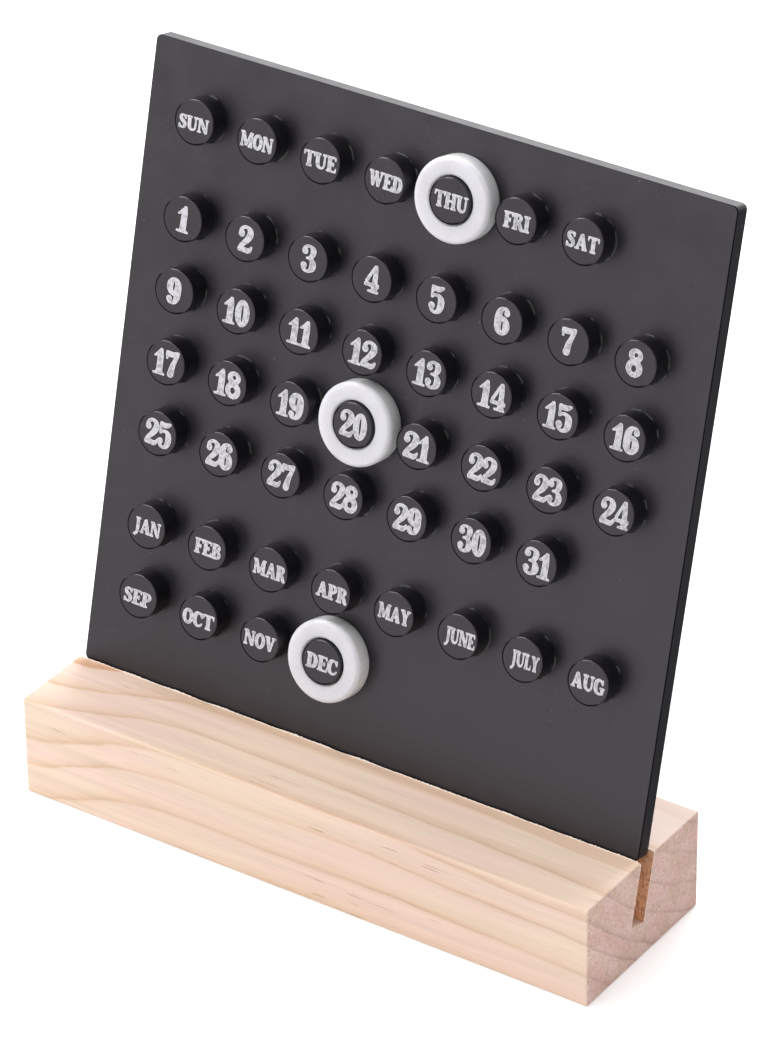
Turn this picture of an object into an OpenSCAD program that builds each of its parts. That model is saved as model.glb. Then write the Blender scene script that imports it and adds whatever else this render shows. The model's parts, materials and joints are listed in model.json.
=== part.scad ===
// Perpetual desk calendar: a leaning board of labelled pegs in a slotted wooden block,
// with three loose rings that mark the weekday, the date and the month.
// X runs to the right along the block, Y to the back and Z up.
// The origin is the middle of the block's underside.

/* [Base block] */
// Length of the block
block_l = 150; // [140:1:200]
// Depth of the block, front to back
block_w = 45; // [40:1:60]
// Height of the block
block_h = 25; // [20:1:40]
// Radius of the block's eased edges
block_ease = 0.6; // [0.2:0.1:2]

/* [Slot] */
// Lean of the slot and the board, backwards from upright, in degrees
lean = 14; // [5:1:20]
// From the block's front face to the slot's front lip
slot_front = 21.3; // [15:0.1:28]
// Depth of the slot, measured along its walls
slot_depth = 15.5; // [10:0.5:17]
// Clearance between the board and each wall of the slot
slot_gap = 0.55; // [0.2:0.05:1]
// Width of the worn bevel along the slot's two lips
slot_lip = 0.15; // [0.05:0.05:1]

/* [Board] */
// Thickness of the board
board_t = 4; // [3:0.1:6]
// Radius of the board's four corners
board_r = 1.4; // [0.8:0.1:8]
// Bevel round the board's front and back edges
board_ease = 0.2; // [0.1:0.05:0.6]
// From the board's side to the centre of the nearest peg
side_margin = 15.7; // [12:0.1:25]
// From the board's top to the centre of the weekday pegs
top_margin = 15.4; // [12:0.1:25]
// From the board's lower edge to the centre of the last row of pegs
bottom_margin = 21.3; // [12:0.1:30]
// How far the tongue's ends stand in from the board's sides
tongue_inset = 20; // [10:1:50]
// How far the board's lower edge hangs inside the mouth of the slot
shoulder_drop = 0.6; // [0.3:0.1:2]

/* [Pegs] */
// Spacing of the pegs, along a row and between the rows of a group
peg_pitch = 16.6; // [15.5:0.1:20]
// Spacing between the last row of one group and the first row of the next
group_gap = 22.1; // [17:0.1:30]
// Diameter of a peg
peg_d = 10.3; // [8:0.1:11]
// Height of a peg above the board
peg_h = 5.2; // [4:0.1:8]
// Radius of the edge round a peg's face
peg_ease = 0.3; // [0.1:0.05:0.6]
// How far the collar at a peg's foot stands out from its side
collar_w = 0.3; // [0.1:0.05:0.4]
// Height of the collar
collar_h = 0.25; // [0.1:0.05:0.4]
// Diameter of the stem pressed into the board
stem_d = 5; // [3:0.5:7]
// Clearance round the stem in its hole
stem_gap = 0.02; // [0.01:0.01:0.05]
// Gap below the end of the stem
stem_end_gap = 0.2; // [0.1:0.1:0.5]
// Thickness of board left behind the stem's hole
back_skin = 0.8; // [0.5:0.1:1.5]

/* [Rings] */
// Outer diameter of a ring
ring_d = 19; // [17:0.5:20]
// Height of a ring
ring_h = 4.7; // [3:0.1:6]
// Clearance between a ring's hole and the peg
ring_gap = 0.3; // [0.2:0.05:0.5]
// Radius of the outer edge of a ring's face
ring_round = 1; // [0.3:0.1:1.5]
// Radius of the outer edge at a ring's foot
ring_foot = 0.4; // [0.2:0.1:1]
// Radius of the lips at both ends of a ring's hole
ring_lip = 0.5; // [0.45:0.05:0.8]
// Weekday that carries a ring, counted from Sunday
marked_weekday = 5; // [1:1:7]
// Date that carries a ring
marked_date = 20; // [1:1:31]
// Month that carries a ring
marked_month = 12; // [1:1:12]

/* [Hidden] */
$fn = 96;
// Steps in each rounded edge of a turned piece
ease_steps = 5;
// How far a cutting shape runs past the face it cuts
over = 1;

columns = 8;
weekday_names = ["sun", "mon", "tue", "wed", "thu", "fri", "sat"];
month_names = ["jan", "feb", "mar", "apr", "may", "jun", "jul", "aug", "sep", "oct", "nov", "dec"];
weekdays = len(weekday_names);
dates = 31;
months = len(month_names);
date_rows = ceil(dates / columns);
month_rows = ceil(months / columns);
first_month_row = 1 + date_rows;
rows = first_month_row + month_rows;
group_gaps = 2;

// One entry for each peg: its column from the left and its row from the top
PEG_PLACES = concat(
    [for (i = [0:weekdays - 1]) [i, 0]],
    [for (i = [0:dates - 1]) [i % columns, 1 + floor(i / columns)]],
    [for (i = [0:months - 1]) [i % columns, first_month_row + floor(i / columns)]]
);
PEG_NAMES = concat(
    [for (day = weekday_names) str("peg_", day)],
    [for (n = [1:dates]) str("peg_", n < 10 ? "0" : "", n)],
    [for (month = month_names) str("peg_", month)]
);

// The rings, each with the peg that it goes over
RING_NAMES = ["weekday_ring", "date_ring", "month_ring"];
RING_PEGS = [marked_weekday - 1, weekdays + marked_date - 1, weekdays + dates + marked_month - 1];

// The board's front face meets the top of the block along this line
board_y = -block_w / 2 + slot_front + slot_gap / cos(lean);
board_w = 2 * side_margin + (columns - 1) * peg_pitch;
pegs_h = (rows - 1 - group_gaps) * peg_pitch + group_gaps * group_gap;
board_h = bottom_margin + pegs_h + top_margin;
tongue_w = board_w - 2 * tongue_inset;
tongue_overlap = board_r;
stem_l = board_t - back_skin - stem_end_gap;
hole_depth = stem_l + stem_end_gap;
ring_hole_d = peg_d + 2 * ring_gap;

// Height of a row of pegs above the board's lower edge; each new group adds the wider gap
function row_height(row) =
    let (
        groups_above = (row >= 1 ? 1 : 0) + (row >= first_month_row ? 1 : 0),
        steps_above = row - groups_above
    )
    board_h - top_margin - steps_above * peg_pitch - groups_above * group_gap;

function peg_spot(i) = [
    -board_w / 2 + side_margin + PEG_PLACES[i][0] * peg_pitch,
    0,
    row_height(PEG_PLACES[i][1]) - shoulder_drop
];

// On the block's section, the point that lies y behind the board's face and z up the board
function on_section(y, z) = [
    board_y + y * cos(lean) + z * sin(lean),
    block_h - y * sin(lean) + z * cos(lean)
];

// Where a wall of the slot comes out of the top of the block, as a height up the board and as a point
function lip_height(y) = y * tan(lean);
function lip(y) = on_section(y, lip_height(y));

// Points of a quarter round about a centre, from one angle to the next
function quarter_round(centre, r, from) =
    [for (k = [0:ease_steps]) centre + r * [cos(from + 90 * k / ease_steps), sin(from + 90 * k / ease_steps)]];

// Carries what stands on the board: X along it, Z up it and Y out of its back
module on_the_lean() {
    translate([0, board_y, block_h]) rotate([-lean, 0, 0]) children();
}

// Carries what is turned about a peg's axis, with Z out of the board's face
module on_peg(i) {
    on_the_lean() translate(peg_spot(i)) rotate([90, 0, 0]) children();
}

module rounded_rectangle(width, height, r) {
    square([width - 2 * r, height], center = true);
    square([width, height - 2 * r], center = true);
    for (x = [-1, 1], y = [-1, 1])
        translate([x * (width / 2 - r), y * (height / 2 - r)]) circle(r);
}

module bevelled_rectangle(width, height, bevel) {
    x = width / 2;
    y = height / 2;
    polygon([
        [-x + bevel, -y], [x - bevel, -y], [x, -y + bevel], [x, y - bevel],
        [x - bevel, y], [-x + bevel, y], [-x, y - bevel], [-x, -y + bevel]
    ]);
}

// A box with every edge eased: the shape that its three rounded outlines have in common
module eased_box(size, r) {
    intersection() {
        linear_extrude(size.z, center = true) rounded_rectangle(size.x, size.y, r);
        rotate([90, 0, 0])
            linear_extrude(size.y, center = true) rounded_rectangle(size.x, size.z, r);
        rotate([90, 0, 90])
            linear_extrude(size.x, center = true) rounded_rectangle(size.y, size.z, r);
    }
}

// The slot's outline across the block, with a worn bevel on both lips
module slot_outline() {
    front = -slot_gap;
    back = board_t + slot_gap;
    polygon([
        lip(front) + [-slot_lip, over], lip(back) + [slot_lip, over],
        lip(back) + [slot_lip, 0], on_section(back, lip_height(back) - slot_lip),
        on_section(back, -slot_depth), on_section(front, -slot_depth),
        on_section(front, lip_height(front) - slot_lip), lip(front) - [slot_lip, 0]
    ]);
}

module base_block() {
    color("#e9cfae")
        difference() {
            translate([0, 0, block_h / 2]) eased_box([block_l, block_w, block_h], block_ease);
            rotate([90, 0, 90]) linear_extrude(block_l + 2 * over, center = true) slot_outline();
        }
}

// One round corner of the plate, bevelled like the straight edges
module plate_corner() {
    rotate([90, 0, 0])
        rotate_extrude()
            polygon([
                [0, -board_t / 2], [board_r - board_ease, -board_t / 2],
                [board_r, -board_t / 2 + board_ease], [board_r, board_t / 2 - board_ease],
                [board_r - board_ease, board_t / 2], [0, board_t / 2]
            ]);
}

module plate() {
    translate([0, board_t / 2, board_h / 2 - shoulder_drop]) {
        linear_extrude(board_h - 2 * board_r, center = true)
            bevelled_rectangle(board_w, board_t, board_ease);
        rotate([90, 0, 90])
            linear_extrude(board_w - 2 * board_r, center = true)
                bevelled_rectangle(board_t, board_h, board_ease);
        for (x = [-1, 1], z = [-1, 1])
            translate([x * (board_w / 2 - board_r), 0, z * (board_h / 2 - board_r)]) plate_corner();
    }
}

// Stands on the slot's floor and carries the board
module tongue() {
    tongue_top = tongue_overlap - shoulder_drop;
    rotate([90, 0, 90])
        linear_extrude(tongue_w, center = true)
            polygon([
                [board_ease, -slot_depth], [board_t - board_ease, -slot_depth],
                [board_t, -slot_depth + board_ease], [board_t, tongue_top],
                [0, tongue_top], [0, -slot_depth + board_ease]
            ]);
}

module stem_holes() {
    for (i = [0:len(PEG_PLACES) - 1])
        translate(peg_spot(i)) rotate([90, 0, 0])
            translate([0, 0, -hole_depth]) cylinder(h = hole_depth + over, r = stem_d / 2 + stem_gap);
}

module board() {
    color("#47464b")
        on_the_lean()
            difference() {
                union() {
                    plate();
                    tongue();
                }
                stem_holes();
            }
}

// A turned peg: the stem in the board, the collar on its face and the button that carries the label
module peg(i) {
    stem_r = stem_d / 2;
    peg_r = peg_d / 2;
    color("#3a393e")
        on_peg(i)
            rotate_extrude()
                polygon(concat(
                    [[0, -stem_l], [stem_r - peg_ease, -stem_l], [stem_r, -stem_l + peg_ease], [stem_r, 0]],
                    [[peg_r + collar_w, 0], [peg_r + collar_w, collar_h], [peg_r, collar_h]],
                    quarter_round([peg_r - peg_ease, peg_h - peg_ease], peg_ease, 0),
                    [[0, peg_h]]
                ));
}

// A marker ring, which lies flat on the board round a peg
module ring(peg_index) {
    hole_r = ring_hole_d / 2;
    outer_r = ring_d / 2;
    color("#f1f0f3")
        on_peg(peg_index)
            rotate_extrude()
                polygon(concat(
                    quarter_round([hole_r + ring_lip, ring_lip], ring_lip, 180),
                    quarter_round([outer_r - ring_foot, ring_foot], ring_foot, 270),
                    quarter_round([outer_r - ring_round, ring_h - ring_round], ring_round, 0),
                    quarter_round([hole_r + ring_lip, ring_h - ring_lip], ring_lip, 90)
                ));
}

base_block();
board();
for (i = [0:len(PEG_NAMES) - 1])
    peg(i);
for (k = [0:len(RING_NAMES) - 1])
    ring(RING_PEGS[k]);
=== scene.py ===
import json
import math
import random

import bpy
from mathutils import Matrix, Vector, geometry, noise


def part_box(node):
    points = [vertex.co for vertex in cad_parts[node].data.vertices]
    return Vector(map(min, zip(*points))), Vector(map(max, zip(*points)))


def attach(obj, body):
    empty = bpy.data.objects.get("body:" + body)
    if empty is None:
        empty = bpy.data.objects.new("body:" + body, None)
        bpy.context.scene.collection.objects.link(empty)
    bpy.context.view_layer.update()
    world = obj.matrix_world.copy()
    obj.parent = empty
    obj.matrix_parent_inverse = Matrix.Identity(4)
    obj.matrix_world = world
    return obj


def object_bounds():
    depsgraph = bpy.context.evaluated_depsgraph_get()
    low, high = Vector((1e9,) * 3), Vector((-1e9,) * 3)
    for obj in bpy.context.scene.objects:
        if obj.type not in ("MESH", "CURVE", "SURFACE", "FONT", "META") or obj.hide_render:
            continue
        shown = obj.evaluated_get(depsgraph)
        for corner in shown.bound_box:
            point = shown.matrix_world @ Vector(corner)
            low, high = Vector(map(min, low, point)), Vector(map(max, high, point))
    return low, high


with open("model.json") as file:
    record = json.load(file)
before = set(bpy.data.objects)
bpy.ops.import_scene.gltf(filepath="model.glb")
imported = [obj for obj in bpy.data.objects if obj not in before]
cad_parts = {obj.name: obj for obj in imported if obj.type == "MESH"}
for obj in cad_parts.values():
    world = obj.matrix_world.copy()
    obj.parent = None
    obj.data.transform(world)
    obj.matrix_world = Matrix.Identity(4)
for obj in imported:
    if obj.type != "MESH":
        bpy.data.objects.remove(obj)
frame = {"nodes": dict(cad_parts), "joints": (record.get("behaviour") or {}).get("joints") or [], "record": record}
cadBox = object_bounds()
print("frame loaded, CAD nodes:", len(frame["nodes"]))

millimetre = 0.001
camera = {
    "place": (0.57462, -0.82504, 0.70045),
    "looksAt": (-0.01575, 0.03537, 0.06227),
    "roll": math.radians(-0.713),
    "lens": 190.31,
    "sensorHeight": 36.0,
    "clip": (0.05, 20.0),
}


def makeCamera():
    bpy.ops.object.camera_add(location=camera["place"])
    eye = bpy.context.object
    eye.name = "deskCamera"
    view = Vector(camera["looksAt"]) - Vector(camera["place"])
    level = view.to_track_quat("-Z", "Y").to_matrix()
    eye.rotation_euler = (level @ Matrix.Rotation(camera["roll"], 3, "Z")).to_euler()
    eye.data.sensor_fit = "VERTICAL"
    eye.data.sensor_height = camera["sensorHeight"]
    eye.data.lens = camera["lens"]
    eye.data.clip_start, eye.data.clip_end = camera["clip"]
    bpy.context.scene.camera = eye


makeCamera()
print("camera in place")

# The board's own directions, from the joints that slide along them
axes = {joint["name"]: Vector(joint["axis"]) for joint in frame["joints"]}
up = axes["board_lift"].normalized()
outward = axes["date_ring_pull"].normalized()
along = Vector((1, 0, 0))


# How far a CAD node reaches along a direction, in metres
def reach(node, way):
    spread = [v.co.dot(way) for v in frame["nodes"][node].data.vertices]
    return min(spread), max(spread)


# The middle of a peg along the board and up it
def middleOf(node):
    return [sum(reach(node, way)) / 2 for way in (along, up)]


# Small helpers for building node trees

def addNode(tree, kind, inputs=None, **settings):
    made = tree.nodes.new("ShaderNode" + kind)
    for name, value in settings.items():
        setattr(made, name, value)
    for name, value in (inputs or {}).items():
        if isinstance(value, bpy.types.NodeSocket):
            tree.links.new(value, made.inputs[name])
        else:
            made.inputs[name].default_value = value
    return made


def calc(tree, operation, a, b=0.0, c=0.0, clamp=False):
    return addNode(tree, "Math", {0: a, 1: b, 2: c}, operation=operation, use_clamp=clamp).outputs[0]


def vectorCalc(tree, operation, a, b=(0, 0, 0), output="Vector"):
    return addNode(tree, "VectorMath", {0: a, 1: b}, operation=operation).outputs[output]


def blend(tree, share, a, b, way="MIX"):
    made = addNode(tree, "Mix", {0: share, 6: a, 7: b}, data_type="RGBA", blend_type=way)
    return made.outputs[2]


def remap(tree, value, low, high, newLow=0.0, newHigh=1.0):
    inputs = {"Value": value, "From Min": low, "From Max": high, "To Min": newLow, "To Max": newHigh}
    return addNode(tree, "MapRange", inputs, interpolation_type="SMOOTHSTEP").outputs[0]


def cloud(tree, place, scale, detail=3.0, rough=0.5, stretch=None):
    if stretch:
        place = vectorCalc(tree, "MULTIPLY", place, stretch)
    inputs = {"Vector": place, "Scale": scale, "Detail": detail, "Roughness": rough}
    return addNode(tree, "TexNoise", inputs).outputs["Fac"]


def inMillimetres(tree):
    place = addNode(tree, "TexCoord").outputs["Object"]
    return vectorCalc(tree, "MULTIPLY", place, (1000, 1000, 1000))


def newGroup(name, inputs, outputs):
    tree = bpy.data.node_groups.new(name, "ShaderNodeTree")
    for label, kind, value in inputs:
        tree.interface.new_socket(label, in_out="INPUT", socket_type=kind).default_value = value
    for label, kind in outputs:
        tree.interface.new_socket(label, in_out="OUTPUT", socket_type=kind)
    return tree, tree.nodes.new("NodeGroupInput").outputs, tree.nodes.new("NodeGroupOutput").inputs


def useGroup(tree, group, **values):
    made = tree.nodes.new("ShaderNodeGroup")
    made.node_tree = group
    for name, value in values.items():
        if isinstance(value, bpy.types.NodeSocket):
            tree.links.new(value, made.inputs[name])
        else:
            made.inputs[name].default_value = value
    return made.outputs


def newMaterial(name):
    made = bpy.data.materials.new(name)
    made.use_nodes = True
    tree = made.node_tree
    return made, tree, tree.nodes["Principled BSDF"]


skin = {
    "fineScale": 3.5,  # per mm
    # turn in degrees, stretch along and across a scratch, and where its noise starts
    "scratches": ((35, (0.05, 2.4, 2.4), 3.0), (-50, (0.04, 2.0, 2.0), 11.0), (80, (0.07, 2.8, 2.8), 23.0)),
    "scratchEdge": (0.70, 0.76),
    "scratchedPlaces": (0.48, 0.62),
    "speckCell": 0.42,  # dust specks per mm
    "speckSize": 0.085,
}


# The moulded skin that every plastic piece has: soft mottling, hairline scratches and dust
def makeSkinGroup():
    tree, given, out = newGroup(
        "mouldedSkin",
        [("Place", "NodeSocketVector", (0, 0, 0)), ("Mottle size", "NodeSocketFloat", 6.0),
         ("Scratches", "NodeSocketFloat", 0.5), ("Dust", "NodeSocketFloat", 0.5)],
        [("Mottle", "NodeSocketFloat"), ("Scratch", "NodeSocketFloat"), ("Speck", "NodeSocketFloat"),
         ("Height", "NodeSocketFloat")])
    place = given["Place"]
    frequency = calc(tree, "DIVIDE", 1.0, given["Mottle size"])
    broad = cloud(tree, place, frequency, 4.0, 0.6)
    fine = cloud(tree, place, skin["fineScale"], 2.0, 0.5)
    scratches = 0.0
    for turn, stretch, seed in skin["scratches"]:
        turned = addNode(tree, "Mapping", {"Vector": place, "Rotation": (0, math.radians(turn), 0),
                                           "Location": (seed, seed, seed)}).outputs[0]
        line = remap(tree, cloud(tree, turned, 1.0, 1.0, 0.4, stretch), *skin["scratchEdge"])
        scratches = calc(tree, "ADD", scratches, line)
    here = remap(tree, cloud(tree, place, 0.09, 2.0), *skin["scratchedPlaces"])
    scratches = calc(tree, "MULTIPLY", calc(tree, "MULTIPLY", scratches, here, clamp=True), given["Scratches"])
    cells = addNode(tree, "TexVoronoi", {"Vector": place, "Scale": skin["speckCell"], "Randomness": 1.0})
    size = addNode(tree, "SeparateColor", {0: cells.outputs["Color"]}).outputs
    reach = calc(tree, "MULTIPLY", calc(tree, "POWER", size[0], 6.0), skin["speckSize"])
    speck = calc(tree, "LESS_THAN", cells.outputs["Distance"], reach)
    speck = calc(tree, "MULTIPLY", speck, given["Dust"])
    height = calc(tree, "MULTIPLY_ADD", fine, 0.35, calc(tree, "MULTIPLY", broad, 0.65))
    height = calc(tree, "MULTIPLY_ADD", scratches, -0.5, height)
    for name, value in (("Mottle", broad), ("Scratch", scratches), ("Speck", speck), ("Height", height)):
        tree.links.new(value, out[name])
    return tree


skinGroup = makeSkinGroup()

pine = {
    "pith": (60.0, 95.0),  # where the tree's middle was, in mm behind and above the block
    "ringLines": (75.0, 82.0, 89.0, 96.0, 102.7, 110.0, 114.6, 120.6, 127.0),  # mm from the pith
    "sweepDrop": 7.3,  # how far the rings dive at the left end, in mm
    "sweepLength": 22.0,
    "sweepRise": 1.3,
    "pale": (0.875, 0.69, 0.55, 1),
    "rosy": (0.89, 0.668, 0.562, 1),
    "tan": (0.79, 0.56, 0.395, 1),
    "line": (0.66, 0.425, 0.28, 1),
    "heart": (0.70, 0.36, 0.19, 1),
    "fleck": (0.50, 0.29, 0.16, 1),
    "sawnEnd": (0.76, 0.49, 0.44, 1),
    "sawnEndDark": (0.42, 0.26, 0.22, 1),
    "sawnEndPale": (0.92, 0.74, 0.66, 1),
    "sawnEndTan": (0.68, 0.49, 0.36, 1),
    "rearTopLit": (0.96, 0.79, 0.73, 1),
    "slotWall": (0.90, 0.50, 0.29, 1),
    "slotWallDark": (0.46, 0.22, 0.12, 1),
    "slotWallTorn": (0.86, 0.62, 0.47, 1),
    "halfSlot": 2.62,  # mm from the middle of the slot that still counts as its wall
    "underTop": 0.2,  # mm below the block's top where the slot's walls start
    "aboveFloor": 0.1,
    "slowWander": (3.0, (0.018, 0.07, 0.07)),  # mm that the rings wander, and how fast along, across and up
    "quickWander": (0.7, (0.06, 0.9, 0.9)),
    "firstRingGap": 6.0,  # mm
    "lineWidth": (0.3, 0.25),  # mm before and past a ring's line
    "paleShare": 0.55,  # how much of each ring stays pale before its line
    "grain": (0.035, 2.6, 2.6),
    "patches": (0.025, 0.11, 0.11),
    "bands": (0.012, 0.45, 0.45),
    "tanBandShaded": ((-5.4, -3.8), (0.5, -0.5), (22.0, 24.5)),  # mm: from front to slot, at the slot, and upwards; a tan strip, partly the wood's own tone and partly painted shade from the board
    "tanBandShadeShare": 0.55,
    "heartDepth": ((86.9, 88.1), (89.3, 88.8)),  # mm from the pith
    "heartReach": (-30.0, -60.0),  # mm along the block, from nothing to full
    "heartShare": 0.65,
    "dashes": (0.10, 2.3, 2.3),
    "dashPlaces": (0.03, 0.16, 0.16),
    "dashShare": 0.6,
    "rearLitFrom": (4.0, 8.0),  # mm behind the block's middle, where the painted light on the rear of the top begins
    "rearLitShare": 0.65,
    "rimWidth": (0.5, 0.1),  # mm outside the slot's walls, where the saw tore the end
    "bump": (0.6, 0.00012),
    "roughness": (0.58, 0.74),
}


def makePine():
    made, tree, shader = newMaterial("pine")
    place = inMillimetres(tree)
    axis = addNode(tree, "SeparateXYZ", {0: place}).outputs
    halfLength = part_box("base_block")[1].x / millimetre

    # distance from the pith, which dives towards the left end and wanders a little along the block
    fromPith = vectorCalc(tree, "SUBTRACT", place, (0, *pine["pith"]))
    radius = vectorCalc(tree, "LENGTH", vectorCalc(tree, "MULTIPLY", fromPith, (0, 1, 1)), output="Value")
    fromLeft = calc(tree, "DIVIDE", calc(tree, "ADD", axis[0], halfLength), pine["sweepLength"])
    dive = calc(tree, "EXPONENT", calc(tree, "MULTIPLY", calc(tree, "MULTIPLY", fromLeft, fromLeft), -1.0))
    fall = calc(tree, "POWER", calc(tree, "MAXIMUM", calc(tree, "DIVIDE", axis[0], halfLength), 0.0), 2.0)
    rise = calc(tree, "MULTIPLY", calc(tree, "SUBTRACT", 1.0, fall), pine["sweepRise"])
    sweep = calc(tree, "MULTIPLY_ADD", dive, -pine["sweepDrop"], rise)
    wanders = []
    for (width, stretch), detail in ((pine["slowWander"], 3.0), (pine["quickWander"], 2.0)):
        centred = calc(tree, "SUBTRACT", cloud(tree, place, 1.0, detail, 0.5, stretch), 0.5)
        wanders.append(calc(tree, "MULTIPLY", centred, width))
    depth = calc(tree, "ADD", calc(tree, "ADD", radius, sweep), calc(tree, "ADD", *wanders))

    # each ring darkens slowly to its line and is pale again just past it
    lines = pine["ringLines"]
    before = lines[0] - pine["firstRingGap"]
    low, high = before, lines[-1] + 3
    rings = addNode(tree, "ValToRGB", {0: calc(tree, "DIVIDE", calc(tree, "SUBTRACT", depth, low), high - low)})
    ramp = rings.color_ramp
    ramp.elements[0].color = ramp.elements[1].color = (0, 0, 0, 1)
    for before, line in zip((before,) + lines, lines):
        paleEnd = line - pine["paleShare"] * (line - before)
        darkest, past = line - pine["lineWidth"][0], line + pine["lineWidth"][1]
        for at, shade in ((paleEnd, 0.0), (darkest, 1.0), (past, 0.0)):
            ramp.elements.new((at - low) / (high - low)).color = (shade, shade, shade, 1)
    late = rings.outputs[0]
    strength = remap(tree, cloud(tree, place, 1.0, 2.0, 0.5, (0.02, 0.12, 0.12)), 0.25, 0.7, 0.45, 1.0)
    tanShare = calc(tree, "MULTIPLY", calc(tree, "POWER", late, 1.6), strength)
    lineShare = calc(tree, "MULTIPLY", calc(tree, "POWER", late, 9.0), calc(tree, "MULTIPLY", strength, 0.75))

    fibre = cloud(tree, place, 1.0, 4.0, 0.6, pine["grain"])
    patches = remap(tree, cloud(tree, place, 1.0, 3.0, 0.55, pine["patches"]), 0.40, 0.58)
    colour = blend(tree, patches, pine["pale"], pine["rosy"])
    colour = blend(tree, tanShare, colour, pine["tan"])
    colour = blend(tree, lineShare, colour, pine["line"])
    # a tan strip on the top in front of the slot: partly the wood's own tone, partly painted shade where the board
    # keeps light off it
    front, slotSide, upwards = pine["tanBandShaded"]
    shadeBySlot = calc(tree, "MULTIPLY", remap(tree, axis[1], *front), remap(tree, axis[1], *slotSide))
    shadeBySlot = calc(tree, "MULTIPLY", shadeBySlot, calc(tree, "SUBTRACT", 1.0, dive))
    shadeBySlot = calc(tree, "MULTIPLY", shadeBySlot, remap(tree, axis[2], *upwards, 0.0, pine["tanBandShadeShare"]))
    colour = blend(tree, shadeBySlot, colour, pine["tan"])
    into, outOf = pine["heartDepth"]
    heart = calc(tree, "MULTIPLY", remap(tree, depth, *into), remap(tree, depth, *outOf))
    heart = calc(tree, "MULTIPLY", heart, remap(tree, axis[0], *pine["heartReach"]))
    colour = blend(tree, calc(tree, "MULTIPLY", heart, pine["heartShare"]), colour, pine["heart"])
    streaks = remap(tree, fibre, 0.30, 0.70, 0.962, 1.025)
    bands = remap(tree, cloud(tree, place, 1.0, 3.0, 0.6, pine["bands"]), 0.3, 0.7, 0.945, 1.04)
    streaks = calc(tree, "MULTIPLY", streaks, bands)
    streakGrey = addNode(tree, "CombineColor", {0: streaks, 1: streaks, 2: streaks}).outputs[0]
    colour = blend(tree, 1.0, colour, streakGrey, "MULTIPLY")

    # resin canals: short dark dashes along the grain
    dash = remap(tree, cloud(tree, place, 1.0, 1.0, 0.4, pine["dashes"]), 0.69, 0.73)
    dashHere = remap(tree, cloud(tree, place, 1.0, 1.0, 0.5, pine["dashPlaces"]), 0.54, 0.64)
    dash = calc(tree, "MULTIPLY", dash, dashHere)
    colour = blend(tree, calc(tree, "MULTIPLY", dash, pine["dashShare"]), colour, pine["fleck"])

    # the sawn ends: speckled fuzz along the rings, with the ring lines as thin dark arcs
    normal = addNode(tree, "SeparateXYZ", {0: addNode(tree, "TexCoord").outputs["Normal"]}).outputs
    endShare = remap(tree, calc(tree, "ABSOLUTE", normal[0]), 0.55, 0.8)
    pithAxis = addNode(tree, "SeparateXYZ", {0: fromPith}).outputs
    angle = calc(tree, "MULTIPLY", calc(tree, "ARCTAN2", pithAxis[2], pithAxis[1]), 100.0)
    polar = addNode(tree, "CombineXYZ", {0: depth, 1: angle, 2: axis[0]}).outputs[0]
    fuzz = cloud(tree, polar, 1.0, 3.0, 0.7, (1.0, 2.6, 0.5))
    speckle = cloud(tree, place, 1.6, 3.0, 0.75)
    blotch = cloud(tree, polar, 1.0, 2.0, 0.5, (0.22, 0.08, 0.2))
    stain = cloud(tree, place, 0.22, 3.0, 0.6)
    endColour = blend(tree, remap(tree, blotch, 0.35, 0.7, 0.0, 0.45), pine["sawnEnd"], pine["sawnEndPale"])
    endColour = blend(tree, remap(tree, stain, 0.45, 0.65, 0.0, 0.6), endColour, pine["sawnEndTan"])
    endColour = blend(tree, remap(tree, fuzz, 0.53, 0.66, 0.0, 0.75), endColour, pine["sawnEndPale"])
    endColour = blend(tree, remap(tree, speckle, 0.47, 0.35, 0.0, 0.7), endColour, pine["sawnEndDark"])
    endLine = calc(tree, "MULTIPLY", calc(tree, "POWER", late, 5.0), strength)
    endColour = blend(tree, calc(tree, "MULTIPLY", endLine, 0.62), endColour, pine["sawnEndDark"])
    # painted light: the rear of the top is drawn paler and pinker, for the bright light from behind that falls there
    rear = calc(tree, "MULTIPLY", remap(tree, axis[1], *pine["rearLitFrom"]), remap(tree, normal[2], 0.5, 0.9))
    colour = blend(tree, calc(tree, "MULTIPLY", rear, pine["rearLitShare"]), colour, pine["rearTopLit"])
    colour = blend(tree, endShare, colour, endColour)

    # the walls of the slot, rough from the blade
    middle = sum(reach("board", outward)) / 2 / millimetre
    outOfSlot = vectorCalc(tree, "DOT_PRODUCT", place, tuple(outward), "Value")
    outOfSlot = calc(tree, "ABSOLUTE", calc(tree, "SUBTRACT", outOfSlot, middle))
    floor = reach("board", up)[0] / millimetre
    height = vectorCalc(tree, "DOT_PRODUCT", place, tuple(up), "Value")
    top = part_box("base_block")[1].z / millimetre
    inSlot = calc(tree, "LESS_THAN", outOfSlot, pine["halfSlot"])
    inSlot = calc(tree, "MULTIPLY", inSlot, calc(tree, "GREATER_THAN", height, floor + pine["aboveFloor"]))
    inSlot = calc(tree, "MULTIPLY", inSlot, calc(tree, "LESS_THAN", axis[2], top - pine["underTop"]))
    bladeMarks = cloud(tree, place, 1.0, 3.0, 0.7, (1.6, 0.5, 0.8))
    wall = blend(tree, remap(tree, bladeMarks, 0.52, 0.38, 0.0, 0.85), pine["slotWall"], pine["slotWallDark"])
    wall = blend(tree, remap(tree, bladeMarks, 0.58, 0.68, 0.0, 0.8), wall, pine["slotWallTorn"])
    wall = blend(tree, remap(tree, speckle, 0.60, 0.68, 0.0, 0.7), wall, pine["slotWallTorn"])
    wall = blend(tree, calc(tree, "MULTIPLY", lineShare, 0.9), wall, pine["slotWallDark"])
    colour = blend(tree, inSlot, colour, wall)
    rimEdges = [pine["halfSlot"] + width for width in pine["rimWidth"]]
    tornRim = calc(tree, "MULTIPLY", remap(tree, outOfSlot, *rimEdges), endShare)
    tornRim = calc(tree, "MULTIPLY", tornRim, calc(tree, "GREATER_THAN", height, floor))
    tornRim = calc(tree, "MULTIPLY", tornRim, remap(tree, speckle, 0.35, 0.55, 0.2, 0.9))
    colour = blend(tree, tornRim, colour, pine["sawnEndPale"])

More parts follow.
